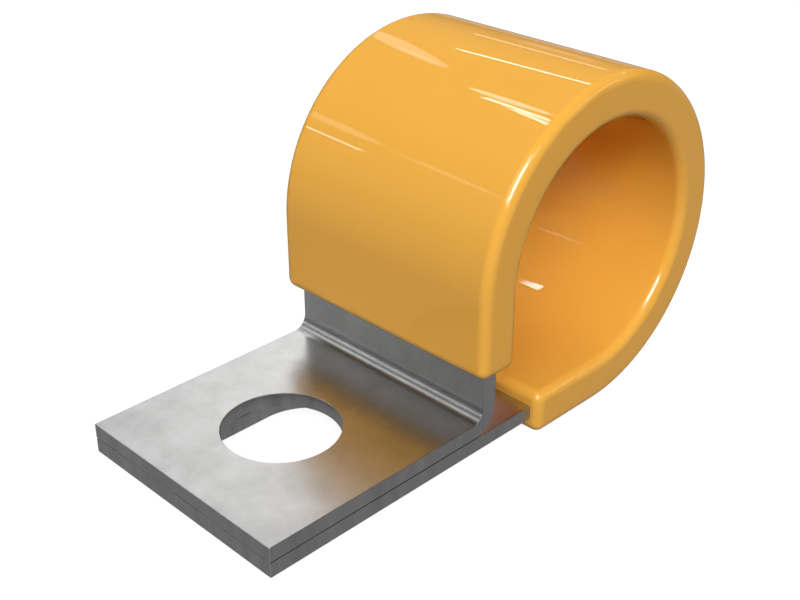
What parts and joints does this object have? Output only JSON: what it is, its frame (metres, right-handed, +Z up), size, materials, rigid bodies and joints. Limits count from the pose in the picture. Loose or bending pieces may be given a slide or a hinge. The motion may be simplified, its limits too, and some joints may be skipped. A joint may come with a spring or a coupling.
{
  "type": "cushioned p clip",
  "caption": "Cushioned P clip: a folded steel band with a plastic-covered loop and two stacked fixing tabs, one with a round hole and one with a slot.",
  "frame": {"origin": "centre of the loop: on its axis, midway along the band's width", "axes": "+X from the fixing tabs towards the loop, +Y along the loop's axis, +Z up from the tabs"},
  "size_m": [0.0468, 0.0218, 0.0274],
  "materials": {
    "bare_steel": "plain cold-rolled sheet, softly mottled, satin",
    "orange_cushion": "glossy moulded orange-yellow plastic"
  },
  "bodies": {
    "root": {"band": "bare_steel", "cushion": "orange_cushion"}
  },
  "joints": []
}
